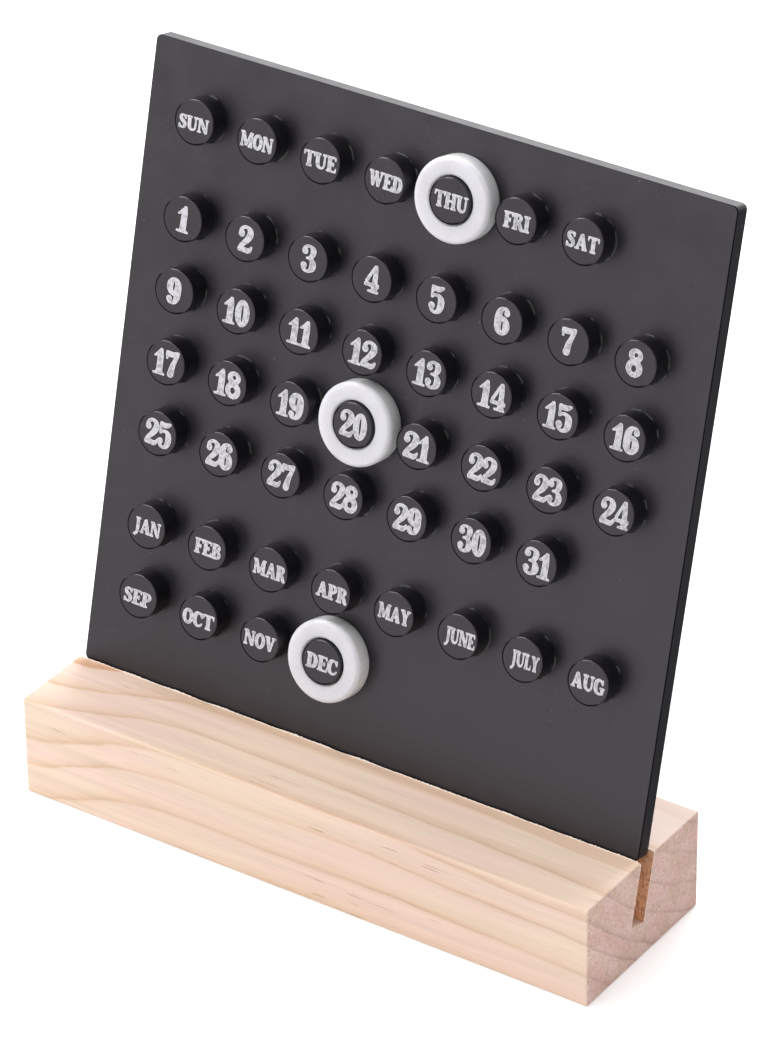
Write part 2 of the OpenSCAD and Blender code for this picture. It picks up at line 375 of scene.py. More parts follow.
    sawn = calc(tree, "MAXIMUM", endShare, inSlot)
    sawnHeight = calc(tree, "ADD", fuzz, calc(tree, "MULTIPLY", speckle, 0.8))
    planedHeight = calc(tree, "MULTIPLY", fibre, 0.25)
    height = addNode(tree, "Mix", {0: sawn, 2: planedHeight, 3: sawnHeight}, data_type="FLOAT").outputs[0]
    height = calc(tree, "MULTIPLY_ADD", dash, -0.5, height)
    strength, distance = pine["bump"]
    bump = addNode(tree, "Bump", {"Strength": strength, "Distance": distance, "Height": height})
    tree.links.new(colour, shader.inputs["Base Color"])
    tree.links.new(remap(tree, fibre, 0.2, 0.8, *pine["roughness"]), shader.inputs["Roughness"])
    tree.links.new(bump.outputs[0], shader.inputs["Normal"])
    shader.inputs["Specular IOR Level"].default_value = 0.25
    return made


black = {
    "board": {"base": (0.0042, 0.0036, 0.0046, 1), "light": (0.0085, 0.0078, 0.0090, 1),
              "dust": (0.20, 0.19, 0.20, 1), "mottle": 9.0, "roughness": (0.33, 0.43),
              "scratches": 0.5, "specks": 0.8, "bump": 0.10,
              "skywardEdge": 0.8, "otherEdge": 0.9, "rightEdge": 0.95,  # roughness of the bevels, by where they face; the other and right ones also get painted shade
              "foot": 0.0, "contour": 0.0},
    "peg": {"base": (0.0022, 0.0018, 0.0026, 1), "light": (0.0042, 0.0036, 0.0046, 1), "dust": (0.2, 0.2, 0.2, 1),
            "mottle": 3.5, "roughness": (0.33, 0.42), "scratches": 0.7, "specks": 1.0, "bump": 0.12,
            "skywardEdge": 0.12, "otherEdge": 1.0, "rightEdge": None, "foot": 0.4, "contour": 0.85},
    "index": 1.55,
    "sheenTint": (0.98, 0.91, 1.0, 1),
    "edgeShadeTint": (0.02, 0.02, 0.02, 1),
    "contourWidth": 0.22,  # mm of a peg's flat face, inside its rounded edge
    "contourMiddle": (-0.77, -0.64, 0),  # where on the rim the contour is darkest
    "contourEnds": (-0.1, 0.35),
    "footGlintHeight": (0.32, 0.26),  # mm above the board, where the painted highlight at the peg feet lies
    "footGlintArcs": (0.53, 0.63),
    "scratchShare": 0.12,
    "speckShare": 0.5,
}


# The radius of the flat part of a peg's face, in mm
def flatRadius(node):
    face, middle = reach(node, outward)[1], middleOf(node)
    rim = [v.co for v in frame["nodes"][node].data.vertices if v.co.dot(outward) > face - 1e-5]
    return max(math.dist((end.dot(along), end.dot(up)), middle) for end in rim) / millimetre


# Painted shade: the dark line inside the lower left rim of every peg's face, drawn round the middle of the nearest
# peg, where reflection is tinted dark
def pegContour(tree, place):
    first, second, last, weekday, month = (
        [at / millimetre for at in middleOf("peg_" + name)] for name in ("01", "02", "31", "sun", "jan"))
    pitch = second[0] - first[0]
    x = vectorCalc(tree, "DOT_PRODUCT", place, tuple(along), "Value")
    y = vectorCalc(tree, "DOT_PRODUCT", place, tuple(up), "Value")
    across = calc(tree, "WRAP", calc(tree, "SUBTRACT", x, first[0]), pitch / 2, -pitch / 2)
    aboveRow = calc(tree, "WRAP", calc(tree, "SUBTRACT", y, first[1]), pitch / 2, -pitch / 2)
    monthRow = calc(tree, "WRAP", calc(tree, "SUBTRACT", y, month[1]), pitch / 2, -pitch / 2)
    inMonths = calc(tree, "LESS_THAN", y, (last[1] + month[1]) / 2)
    inWeekdays = calc(tree, "GREATER_THAN", y, (weekday[1] + first[1]) / 2)
    aboveRow = addNode(tree, "Mix", {0: inMonths, 2: aboveRow, 3: monthRow}, data_type="FLOAT").outputs[0]
    weekdayRow = calc(tree, "SUBTRACT", y, weekday[1])
    aboveRow = addNode(tree, "Mix", {0: inWeekdays, 2: aboveRow, 3: weekdayRow}, data_type="FLOAT").outputs[0]
    fromMiddle = addNode(tree, "CombineXYZ", {0: across, 1: aboveRow}).outputs[0]
    radius = vectorCalc(tree, "LENGTH", fromMiddle, output="Value")
    flat = flatRadius("peg_01")
    band = remap(tree, radius, flat - black["contourWidth"], flat - black["contourWidth"] / 3)
    direction = vectorCalc(tree, "NORMALIZE", fromMiddle)
    lowLeft = vectorCalc(tree, "DOT_PRODUCT", direction, black["contourMiddle"], "Value")
    return calc(tree, "MULTIPLY", band, remap(tree, lowLeft, *black["contourEnds"]))


def makeBlack(name, look):
    made, tree, shader = newMaterial(name)
    place = inMillimetres(tree)
    marks = useGroup(tree, skinGroup, **{"Place": place, "Mottle size": look["mottle"],
                                         "Scratches": look["scratches"], "Dust": look["specks"]})
    colour = blend(tree, remap(tree, marks["Mottle"], 0.3, 0.7), look["base"], look["light"])
    colour = blend(tree, calc(tree, "MULTIPLY", marks["Scratch"], black["scratchShare"]), colour, look["dust"])
    colour = blend(tree, calc(tree, "MULTIPLY", marks["Speck"], black["speckShare"]), colour, look["dust"])
    if look["foot"]:
        # painted highlight: pale arcs in the dust colour round the feet of the pegs, standing in for the glint on
        # their collars; they come and go
        boardFace = reach("board", outward)[1] / millimetre
        above = calc(tree, "SUBTRACT", vectorCalc(tree, "DOT_PRODUCT", place, tuple(outward), "Value"), boardFace)
        arcs = remap(tree, cloud(tree, place, 0.33, 1.0), *black["footGlintArcs"])
        foot = calc(tree, "MULTIPLY", remap(tree, above, *black["footGlintHeight"]), arcs)
        foot = calc(tree, "MULTIPLY", foot, look["foot"])
        colour = blend(tree, foot, colour, look["dust"])
    rough = remap(tree, marks["Mottle"], 0.3, 0.7, *look["roughness"])
    rough = calc(tree, "MULTIPLY_ADD", marks["Scratch"], black["scratchShare"], rough)
    normal = addNode(tree, "TexCoord").outputs["Normal"]

    # the bevels and rounded rims, told apart by the way they face; those facing lower left and right get painted
    # shade, their reflection tinted dark
    facing = vectorCalc(tree, "DOT_PRODUCT", normal, tuple(outward), "Value")
    onEdge = calc(tree, "MULTIPLY", remap(tree, facing, 0.02, 0.12), remap(tree, facing, 0.995, 0.96))
    skyward = vectorCalc(tree, "DOT_PRODUCT", normal, tuple(up - along * 0.5), "Value")
    lowLeft = vectorCalc(tree, "DOT_PRODUCT", normal, tuple(-(up + along)), "Value")
    rightward = vectorCalc(tree, "DOT_PRODUCT", normal, tuple(along), "Value")
    shares = {"skywardEdge": remap(tree, skyward, 0.2, 0.45), "otherEdge": remap(tree, lowLeft, 0.0, 0.15),
              "rightEdge": remap(tree, rightward, 0.08, 0.2)}
    paintedEdgeShade = 0.0
    for edge, share in shares.items():
        if look[edge] is None:
            continue
        share = calc(tree, "MULTIPLY", onEdge, share)
        rough = addNode(tree, "Mix", {0: share, 2: rough, 3: look[edge]}, data_type="FLOAT").outputs[0]
        if edge != "skywardEdge":
            paintedEdgeShade = calc(tree, "MAXIMUM", paintedEdgeShade, share)
    # painted shade: the contour band on the lower left of each peg face
    if look["contour"]:
        onFace = remap(tree, facing, 0.9, 0.99, 0.0, look["contour"])
        share = calc(tree, "MULTIPLY", pegContour(tree, place), onFace)
        rough = addNode(tree, "Mix", {0: share, 2: rough, 3: 1.0}, data_type="FLOAT").outputs[0]
        paintedEdgeShade = calc(tree, "MAXIMUM", paintedEdgeShade, share)
    # painted shade: reflection tinted dark on the lower left and right bevels and on the peg contour
    tree.links.new(blend(tree, paintedEdgeShade, black["sheenTint"], black["edgeShadeTint"]), shader.inputs["Specular Tint"])
    bump = addNode(tree, "Bump", {"Strength": look["bump"], "Distance": 0.0002, "Height": marks["Height"]})
    tree.links.new(colour, shader.inputs["Base Color"])
    tree.links.new(rough, shader.inputs["Roughness"])
    tree.links.new(bump.outputs[0], shader.inputs["Normal"])
    shader.inputs["IOR"].default_value = black["index"]
    return made


white = {
    "base": (0.71, 0.695, 0.74, 1),
    "shade": (0.65, 0.635, 0.67, 1),
    "wall": (0.96, 0.925, 0.985, 1),  # the round side, drawn paler than the face as painted light
    "grime": (0.42, 0.40, 0.40, 1),
    "roughness": (0.20, 0.30),
    "paintedLitWallFrom": (0.8, 0.3),  # how far the surface has turned from the face
    "scratchShare": 0.10,
    "speckShare": 0.25,
    "subsurface": 0.75,
    "subsurfaceRadius": (1.0, 0.95, 0.97),
    "subsurfaceScale": 0.0035,
}


def makeWhite():
    made, tree, shader = newMaterial("ringWhite")
    place = inMillimetres(tree)
    marks = useGroup(tree, skinGroup, **{"Place": place, "Mottle size": 5.0, "Scratches": 0.6, "Dust": 0.6})
    colour = blend(tree, remap(tree, marks["Mottle"], 0.35, 0.75), white["base"], white["shade"])
    normal = addNode(tree, "TexCoord").outputs["Normal"]
    facing = vectorCalc(tree, "DOT_PRODUCT", normal, tuple(outward), "Value")
    # painted light: the sides turned from the face are drawn paler, for the light that falls on them
    colour = blend(tree, remap(tree, facing, *white["paintedLitWallFrom"]), colour, white["wall"])
    colour = blend(tree, calc(tree, "MULTIPLY", marks["Scratch"], white["scratchShare"]), colour, white["grime"])
    colour = blend(tree, calc(tree, "MULTIPLY", marks["Speck"], white["speckShare"]), colour, white["grime"])
    bump = addNode(tree, "Bump", {"Strength": 0.06, "Distance": 0.0003, "Height": marks["Height"]})
    tree.links.new(colour, shader.inputs["Base Color"])
    tree.links.new(remap(tree, marks["Mottle"], 0.3, 0.7, *white["roughness"]), shader.inputs["Roughness"])
    tree.links.new(bump.outputs[0], shader.inputs["Normal"])
    shader.inputs["Subsurface Weight"].default_value = white["subsurface"]
    shader.inputs["Subsurface Radius"].default_value = white["subsurfaceRadius"]
    shader.inputs["Subsurface Scale"].default_value = white["subsurfaceScale"]
    return made


ink = {
    "white": (0.60, 0.585, 0.625, 1),
    "rim": (0.97, 0.955, 0.98, 1),
    "thin": (0.26, 0.25, 0.275, 1),
    "worn": (0.05, 0.048, 0.055, 1),
    "wornShare": 0.55,
    "thinShare": 0.7,
    "roughness": 0.62,
}


def makeInk():
    made, tree, shader = newMaterial("labelInk")
    place = inMillimetres(tree)
    rim = addNode(tree, "Attribute", attribute_name="rim").outputs["Fac"]
    grain = cloud(tree, place, 2.6, 3.0, 0.7)
    thin = remap(tree, cloud(tree, place, 1.1, 3.0, 0.7), 0.44, 0.62)
    colour = blend(tree, calc(tree, "MULTIPLY", thin, ink["thinShare"]), ink["white"], ink["thin"])
    rim = calc(tree, "MULTIPLY", rim, remap(tree, grain, 0.35, 0.55, 0.45, 0.95))
    colour = blend(tree, rim, colour, ink["rim"])
    worn = remap(tree, grain, 0.60, 0.72)
    colour = blend(tree, calc(tree, "MULTIPLY", worn, ink["wornShare"]), colour, ink["worn"])
    bump = addNode(tree, "Bump", {"Strength": 0.35, "Distance": 0.00008, "Height": grain})
    tree.links.new(colour, shader.inputs["Base Color"])
    tree.links.new(bump.outputs[0], shader.inputs["Normal"])
    shader.inputs["Roughness"].default_value = ink["roughness"]
    shader.inputs["Specular IOR Level"].default_value = 0.3
    return made


materials = {
    "pine": makePine(),
    "board_black": makeBlack("boardBlack", black["board"]),
    "peg_black": makeBlack("pegBlack", black["peg"]),
    "ring_white": makeWhite(),
    "label_ink": makeInk(),
}
slotOfNode = {part["node"]: part["material_slot"] for part in frame["record"]["subparts"]}
for name, piece in frame["nodes"].items():
    piece.data.materials.clear()
    piece.data.materials.append(materials[slotOfNode[name]])
print("materials built and put on the CAD nodes")

# Every character is drawn in millimetres with swelling pen strokes, (x, y, width) at each point.
# A dot is an oval blot (x, y, half width, half height) and a hole is one that is left out again.
slab = 0.44
digits = {
    "0": {"dot": [(0, 0.1, 1.88, 3.1)], "hole": [(0, 0.1, 0.3, 2.1)]},
    "1": {"pen": [[(0.15, -2.9, 2.3), (0.15, -2.3, 1.72), (0.18, -0.8, 1.55), (0.25, 1.2, 1.5), (0.38, 3.1, 0.75)],
                  [(-1.55, 1.05, 0.3), (-1.0, 1.35, 0.62), (-0.3, 1.85, 0.95), (0.2, 2.4, 0.9)],
                  [(-1.6, -2.72, 0.52), (1.62, -2.72, 0.52)]]},
    "2": {"pen": [[(-1.5, 1.1, 0.5), (-1.3, 2.05, 0.8), (-0.55, 2.75, 0.75), (0.3, 2.8, 0.75), (1.05, 2.2, 1.35),
                   (1.15, 1.3, 1.6), (0.6, 0.2, 1.4), (-0.35, -0.85, 1.1), (-1.1, -1.7, 0.95), (-1.5, -2.5, 0.8)],
                  [(-1.75, -2.6, 0.6), (-0.9, -2.25, 1.15), (0.1, -2.3, 1.15), (1.0, -2.35, 1.1), (1.6, -1.8, 0.75),
                   (1.8, -1.15, 0.4)]],
          "dot": [(-1.08, 1.2, 0.8, 0.8)]},
    "3": {"pen": [[(-1.5, 1.7, 0.4), (-1.25, 2.45, 0.75), (-0.55, 2.95, 0.6), (0.2, 2.95, 0.65), (0.95, 2.4, 1.35),
                   (1.0, 1.5, 1.4), (0.55, 0.7, 0.95), (-0.1, 0.35, 0.5)],
                  [(-0.1, 0.3, 0.5), (0.7, 0.1, 0.9), (1.2, -0.8, 1.6), (1.05, -1.8, 1.5), (0.35, -2.5, 0.8),
                   (-0.4, -2.65, 0.6), (-1.15, -2.25, 0.75), (-1.5, -1.5, 0.4)],
                  [(-0.75, 0.3, 0.5), (0.4, 0.3, 0.6)]],
          "dot": [(-1.08, 1.75, 0.78, 0.75), (-1.08, -1.45, 0.78, 0.75)]},
    "4": {"pen": [[(0.72, 3.3, 0.75), (0.75, 1.5, 1.15), (0.8, -1.2, 1.35), (0.8, -2.9, 1.7)],
                  [(0.55, 3.1, 0.6), (-1.45, -0.8, 0.75)], [(-1.85, -1.22, 0.82), (1.9, -1.25, 0.75)],
                  [(1.75, -0.7, 0.3), (1.75, -1.75, 0.35)], [(-0.85, -2.65, 0.52), (1.95, -2.65, 0.52)]]},
    "5": {"pen": [[(-1.3, 3.1, 0.65), (-1.25, 0.3, 0.6)],
                  [(-1.55, 2.75, 1.0), (-0.6, 2.5, 1.15), (0.3, 2.5, 1.2), (1.1, 2.85, 0.85), (1.6, 3.05, 0.45)],
                  [(-1.25, 0.55, 0.45), (-0.6, 1.05, 0.6), (0.25, 1.1, 0.8), (1.05, 0.35, 1.5), (1.15, -0.85, 1.6),
                   (0.85, -2.0, 1.35), (0.15, -2.6, 0.75), (-0.6, -2.6, 0.65),
                   (-1.2, -2.1, 0.75), (-1.45, -1.4, 0.4)]],
          "dot": [(-1.08, -1.35, 0.8, 0.78)]},
    "6": {"pen": [[(1.4, 2.2, 0.5), (0.9, 2.8, 0.7), (0.25, 2.95, 0.6), (-0.55, 2.5, 1.2), (-1.05, 1.3, 1.55),
                   (-1.1, 0.0, 1.6), (-1.0, -1.0, 1.6)]],
          "dot": [(0.98, 2.0, 0.72, 0.75), (0.0, -0.9, 1.93, 2.1)], "hole": [(0.0, -0.95, 0.27, 1.2)]},
    "7": {"pen": [[(-1.8, 2.55, 1.0), (-0.9, 2.35, 1.3), (0.2, 2.4, 1.2), (1.2, 2.75, 0.95), (1.75, 3.05, 0.5)],
                  [(-1.5, 2.9, 0.7), (-1.42, 1.0, 0.5)],
                  [(1.35, 2.6, 0.9), (0.85, 1.4, 1.0), (0.2, -0.3, 1.3), (-0.2, -2.2, 1.66)]],
          "dot": [(-0.2, -2.2, 0.85, 0.8)]},
    "8": {"dot": [(0, 1.75, 1.72, 1.5), (0, -1.08, 2.0, 1.95)],
          "hole": [(0.06, 1.85, 0.5, 0.55), (-0.08, -1.15, 0.66, 0.8)]},
    "9": {"pen": [[(-1.4, -2.1, 0.5), (-0.9, -2.6, 0.65), (-0.2, -2.7, 0.6), (0.6, -2.2, 1.2), (1.05, -1.0, 1.55),
                   (1.12, 0.2, 1.6), (1.0, 1.1, 1.6)]],
          "dot": [(-1.0, -1.85, 0.75, 0.72), (0.0, 1.05, 1.93, 2.1)], "hole": [(-0.05, 1.15, 0.27, 1.2)]},
}
# Capitals stand on y = 0 and are 3.5 high. The number is the letter's width.
capitals = {
    "A": (3.3, {"pen": [[(0.62, 0.2, 0.5), (1.55, 3.35, 0.5)], [(1.6, 3.45, 0.95), (2.6, 0.2, 1.05)],
                        [(0.8, 1.1, 0.42), (2.3, 1.1, 0.42)], [(0.0, 0.22, slab), (1.3, 0.22, slab)],
                        [(1.85, 0.22, slab), (3.3, 0.22, slab)]]}),
    "B": (2.8, {"pen": [[(0.85, 0.1, 1.0), (0.85, 3.4, 1.0)],
                        [(0.0, 3.28, slab), (1.4, 3.28, slab), (2.1, 2.95, 0.7), (2.15, 2.4, 0.8), (1.6, 1.92, 0.45),
                         (0.9, 1.85, 0.4)],
                        [(0.9, 1.78, 0.4), (1.75, 1.75, 0.5), (2.3, 1.3, 0.9), (2.25, 0.65, 0.85), (1.5, 0.22, slab),
                         (0.0, 0.22, slab)]]}),
    "C": (2.8, {"pen": [[(2.45, 2.1, 0.4), (2.1, 2.95, 0.5), (1.45, 3.28, 0.5), (0.75, 2.85, 0.95),
                         (0.5, 1.75, 1.02), (0.75, 0.7, 0.95), (1.45, 0.22, 0.5), (2.1, 0.4, 0.5), (2.6, 1.1, 0.35)],
                        [(2.42, 3.5, 0.36), (2.42, 2.15, 0.42)]]}),
    "D": (3.0, {"pen": [[(0.85, 0.1, 1.0), (0.85, 3.4, 1.0)],
                        [(0.0, 3.28, slab), (1.3, 3.28, slab), (2.15, 2.85, 0.85), (2.48, 1.75, 1.05),
                         (2.15, 0.65, 0.85), (1.3, 0.22, slab), (0.0, 0.22, slab)]]}),
    "E": (2.7, {"pen": [[(0.85, 0.1, 1.0), (0.85, 3.4, 1.0)], [(0.0, 3.28, slab), (2.5, 3.28, slab)],
                        [(2.3, 3.45, 0.4), (2.38, 2.45, 0.3)], [(0.9, 1.78, 0.42), (1.85, 1.78, 0.42)],
                        [(1.85, 2.3, 0.36), (1.85, 1.25, 0.36)], [(0.0, 0.22, slab), (2.7, 0.22, slab)],
                        [(2.48, 0.05, 0.42), (2.56, 1.15, 0.3)]]}),
    "F": (2.5, {"pen": [[(0.85, 0.1, 1.0), (0.85, 3.4, 1.0)], [(0.0, 3.28, slab), (2.5, 3.28, slab)],
                        [(2.3, 3.45, 0.4), (2.38, 2.4, 0.3)], [(0.9, 1.78, 0.42), (1.8, 1.78, 0.42)],
                        [(1.8, 2.3, 0.36), (1.8, 1.25, 0.36)], [(0.0, 0.22, slab), (1.75, 0.22, slab)]]}),
    "G": (3.1, {"pen": [[(2.45, 2.2, 0.4), (2.1, 2.95, 0.5), (1.45, 3.28, 0.5), (0.75, 2.85, 0.95),
                         (0.5, 1.75, 1.02), (0.75, 0.7, 0.95), (1.45, 0.22, 0.5), (2.2, 0.35, 0.6)],
                        [(2.42, 3.5, 0.36), (2.42, 2.2, 0.42)], [(2.4, 1.5, 0.85), (2.4, 0.15, 0.75)],
                        [(1.6, 1.5, slab), (3.1, 1.5, slab)]]}),
    "H": (3.4, {"pen": [[(0.8, 0.1, 0.95), (0.8, 3.4, 0.95)], [(2.6, 0.1, 0.95), (2.6, 3.4, 0.95)],
                        [(0.8, 1.78, 0.45), (2.6, 1.78, 0.45)], [(0.0, 3.28, slab), (1.58, 3.28, slab)],
                        [(1.82, 3.28, slab), (3.4, 3.28, slab)], [(0.0, 0.22, slab), (1.58, 0.22, slab)],
                        [(1.82, 0.22, slab), (3.4, 0.22, slab)]]}),
    "I": (1.75, {"pen": [[(0.87, 0.1, 1.0), (0.87, 3.4, 1.0)], [(0.0, 3.28, slab), (1.75, 3.28, slab)],
                         [(0.0, 0.22, slab), (1.75, 0.22, slab)]]}),
    "J": (2.1, {"pen": [[(1.3, 3.4, 0.95), (1.3, 1.0, 0.9), (1.2, 0.1, 0.8), (0.85, -0.55, 0.55), (0.4, -0.85, 0.4)],
                        [(0.5, 3.28, slab), (2.1, 3.28, slab)]], "dot": [(0.42, -0.62, 0.4, 0.36)]}),
    "L": (2.6, {"pen": [[(0.85, 0.1, 1.0), (0.85, 3.4, 1.0)], [(0.0, 3.28, slab), (1.75, 3.28, slab)],
                        [(0.0, 0.22, slab), (2.6, 0.22, slab)], [(2.38, 0.05, 0.42), (2.46, 1.3, 0.3)]]}),
    "M": (3.9, {"pen": [[(0.55, 0.2, 0.45), (0.6, 3.3, 0.5)], [(0.75, 3.4, 1.0), (1.95, 0.35, 0.85)],
                        [(1.9, 0.3, 0.5), (3.0, 3.3, 0.5)], [(3.15, 0.1, 0.95), (3.15, 3.4, 0.95)],
                        [(0.0, 3.28, slab), (1.1, 3.28, slab)], [(2.8, 3.28, slab), (3.9, 3.28, slab)],
                        [(0.0, 0.22, slab), (1.15, 0.22, slab)], [(2.4, 0.22, slab), (3.9, 0.22, slab)]]}),
    "N": (3.3, {"pen": [[(0.6, 0.2, 0.48), (0.6, 3.3, 0.5)], [(0.72, 3.4, 0.95), (2.65, 0.1, 0.85)],
                        [(2.7, 0.1, 0.48), (2.7, 3.3, 0.5)], [(0.0, 3.28, slab), (1.1, 3.28, slab)],
                        [(2.1, 3.28, slab), (3.3, 3.28, slab)], [(0.0, 0.22, slab), (1.25, 0.22, slab)]]}),
    "O": (3.0, {"dot": [(1.5, 1.75, 1.5, 1.83)], "hole": [(1.5, 1.75, 0.52, 1.2)]}),
    "P": (2.7, {"pen": [[(0.85, 0.1, 1.0), (0.85, 3.4, 1.0)],
                        [(0.0, 3.28, slab), (1.4, 3.28, slab), (2.1, 2.95, 0.75), (2.2, 2.35, 0.85),
                         (1.65, 1.72, 0.5), (0.9, 1.6, 0.42)], [(0.0, 0.22, slab), (1.8, 0.22, slab)]]}),
    "R": (3.1, {"pen": [[(0.85, 0.1, 1.0), (0.85, 3.4, 1.0)],
                        [(0.0, 3.28, slab), (1.4, 3.28, slab), (2.1, 3.0, 0.75), (2.2, 2.45, 0.8), (1.7, 1.88, 0.5),
                         (0.9, 1.78, 0.42)], [(0.0, 0.22, slab), (1.6, 0.22, slab)],
                        [(1.5, 1.75, 0.7), (2.1, 1.1, 0.95), (2.45, 0.3, 0.85), (3.05, 0.22, 0.4)]]}),
    "S": (2.5, {"pen": [[(2.1, 2.3, 0.36), (1.85, 3.0, 0.48), (1.2, 3.28, 0.48), (0.6, 2.85, 0.78), (0.75, 2.2, 0.9),
                         (1.3, 1.8, 0.95), (1.85, 1.35, 0.95), (1.9, 0.68, 0.8), (1.3, 0.22, 0.48),
                         (0.65, 0.45, 0.48), (0.32, 1.15, 0.36)],
                        [(2.08, 3.5, 0.34), (2.12, 2.35, 0.34)], [(0.3, 0.0, 0.34), (0.28, 1.2, 0.34)]]}),
    "T": (3.1, {"pen": [[(1.55, 0.1, 1.0), (1.55, 3.4, 1.0)], [(0.0, 3.28, slab), (3.1, 3.28, slab)],
                        [(0.25, 3.45, 0.46), (0.17, 2.35, 0.3)], [(2.85, 3.45, 0.46), (2.93, 2.35, 0.3)],
                        [(0.75, 0.22, slab), (2.35, 0.22, slab)]]}),
    "U": (3.3, {"pen": [[(0.82, 3.4, 0.95), (0.82, 1.3, 0.98), (1.1, 0.55, 0.8), (1.75, 0.2, 0.5), (2.4, 0.5, 0.5),
                         (2.62, 1.3, 0.48), (2.62, 3.4, 0.5)], [(0.0, 3.28, slab), (1.65, 3.28, slab)],
                        [(2.0, 3.28, slab), (3.3, 3.28, slab)]]}),
    "V": (3.2, {"pen": [[(0.75, 3.4, 1.05), (1.65, 0.1, 0.85)], [(1.62, 0.1, 0.6), (2.55, 3.3, 0.5)],
                        [(0.0, 3.28, slab), (1.5, 3.28, slab)], [(1.95, 3.28, slab), (3.2, 3.28, slab)]]}),
    "W": (4.3, {"pen": [[(0.7, 3.4, 0.98), (1.4, 0.1, 0.8)], [(1.4, 0.1, 0.5), (2.15, 3.1, 0.5)],
                        [(2.1, 3.4, 0.95), (2.9, 0.1, 0.8)], [(2.9, 0.1, 0.5), (3.7, 3.3, 0.48)],
                        [(0.0, 3.28, slab), (1.4, 3.28, slab)], [(1.6, 3.28, slab), (2.7, 3.28, slab)],
                        [(3.1, 3.28, slab), (4.3, 3.28, slab)]]}),
    "Y": (3.2, {"pen": [[(0.75, 3.4, 1.0), (1.6, 1.5, 0.85)], [(1.6, 1.4, 0.6), (2.5, 3.3, 0.48)],
                        [(1.6, 0.1, 1.0), (1.6, 1.7, 0.95)], [(0.0, 3.28, slab), (1.45, 3.28, slab)],
                        [(1.95, 3.28, slab), (3.2, 3.28, slab)], [(0.8, 0.22, slab), (2.4, 0.22, slab)]]}),
}
# Where each printed word lies on its peg, in mm from the peg's middle: left, right, foot, head
words = {
    "SUN": (-4.3, 3.7, -1.9, 1.35), "MON": (-4.4, 4.1, -1.8, 1.65), "TUE": (-4.4, 4.1, -1.8, 1.7),
    "WED": (-4.1, 4.45, -1.8, 1.75), "THU": (-4.2, 4.3, -1.8, 1.8), "FRI": (-3.2, 3.4, -1.8, 1.8),
    "SAT": (-4.3, 3.8, -1.8, 1.75), "JAN": (-3.5, 3.8, -1.75, 1.75), "FEB": (-3.5, 3.6, -1.75, 1.8),
    "MAR": (-4.2, 4.45, -1.75, 1.8), "APR": (-4.0, 4.3, -1.75, 1.8), "MAY": (-4.2, 4.1, -1.75, 1.85),
    "JUNE": (-3.5, 4.2, -1.75, 1.8), "JULY": (-3.1, 4.0, -1.75, 1.8), "AUG": (-4.4, 4.0, -1.75, 1.85),
    "SEP": (-4.1, 3.4, -2.0, 1.5), "OCT": (-4.4, 4.1, -2.0, 1.55), "NOV": (-4.3, 4.2, -2.0, 1.55),
    "DEC": (-4.2, 4.2, -2.0, 1.55),
}
label = {
    "thickness": 0.035,  # mm of ink on the peg's face
    "inset": 0.11,  # mm from the outline to the flat middle of a stroke
    "step": 0.13,  # mm between the points of an outline
    "softening": 5,  # rounds of smoothing that make the corners bleed
    "wobble": 0.035,  # mm that the printed edge wanders
    "capHeight": 3.5,
    "letterLap": 0.12,  # mm that neighbouring letters share
    "digitWidth": 3.85,
    "oneWidth": 3.2,
    "digitLap": 0.15,
    "numberWidth": 7.1,  # mm, the most that two digits take
    "shift": 0.34,  # mm that the printing sits to the right of the pegs
    "lift": 0.05,
    "strayAcross": 0.1,  # mm that a label may be out of place
    "strayUp": 0.08,
    "strayTurn": 0.9,  # degrees
    "crown": 0.012,  # mm that the middle of a stroke stands above its edge
    "nudges": {"1": -0.1, "7": -0.15, "8": -0.4, "9": -0.25},  # mm, numbers that were printed off centre
    "long": {"jun": "JUNE", "jul": "JULY"},
    "seed": 12,
}


def penPoints(points, steps=7):
    if len(points) == 2:
        first, last = points
        steps = max(2, int(math.dist(first[:2], last[:2]) / 0.4))
        return [tuple(a + (b - a) * k / steps for a, b in zip(first, last)) for k in range(steps + 1)]
    ends = [points[0], *points, points[-1]]
    made = []
    for a, b, c, d in zip(ends, ends[1:], ends[2:], ends[3:]):
        for k in range(steps):
            t = k / steps
            made.append(tuple(0.5 * (2 * q + (r - p) * t + (2 * p - 5 * q + 4 * r - s) * t * t
                                     + (3 * q - p - 3 * r + s) * t ** 3) for p, q, r, s in zip(a, b, c, d)))
    return made + [points[-1]]


# One stroke as a row of four-cornered patches
def strokePatches(points):
    line = penPoints(points)
    sides = []
    for i, (x, y, width) in enumerate(line):
        before, after = line[max(i - 1, 0)], line[min(i + 1, len(line) - 1)]
        across = Vector((before[1] - after[1], after[0] - before[0])).normalized() * width / 2
        sides.append((Vector((x, y)) + across, Vector((x, y)) - across))
    return [[a[0], b[0], b[1], a[1]] for a, b in zip(sides, sides[1:])]


def oval(x, y, halfWidth, halfHeight, corners=28):
    turns = [2 * math.pi * k / corners for k in range(corners)]
    return [Vector((x + halfWidth * math.cos(t), y + halfHeight * math.sin(t))) for t in turns]


def characterPatches(shape, move, scale):
    inked = [patch for pen in shape.get("pen", []) for patch in strokePatches(pen)]
    inked += [oval(*dot) for dot in shape.get("dot", [])]
    bare = [oval(*hole) for hole in shape.get("hole", [])]
    placed = lambda patch: [Vector((move[0] + p.x * scale[0], move[1] + p.y * scale[1])) for p in patch]
    return [placed(p) for p in inked], [placed(p) for p in bare]


def wordPatches(text):
    left, right, foot, head = words[text]
    widths = [capitals[letter][0] for letter in text]
    natural = sum(widths) - label["letterLap"] * (len(text) - 1)
    scale = ((right - left) / natural, (head - foot) / label["capHeight"])
    inked, bare, x = [], [], left
    for letter, width in zip(text, widths):
        more, holes = characterPatches(capitals[letter][1], (x, foot), scale)
        inked, bare = inked + more, bare + holes
        x += (width - label["letterLap"]) * scale[0]
    return inked, bare


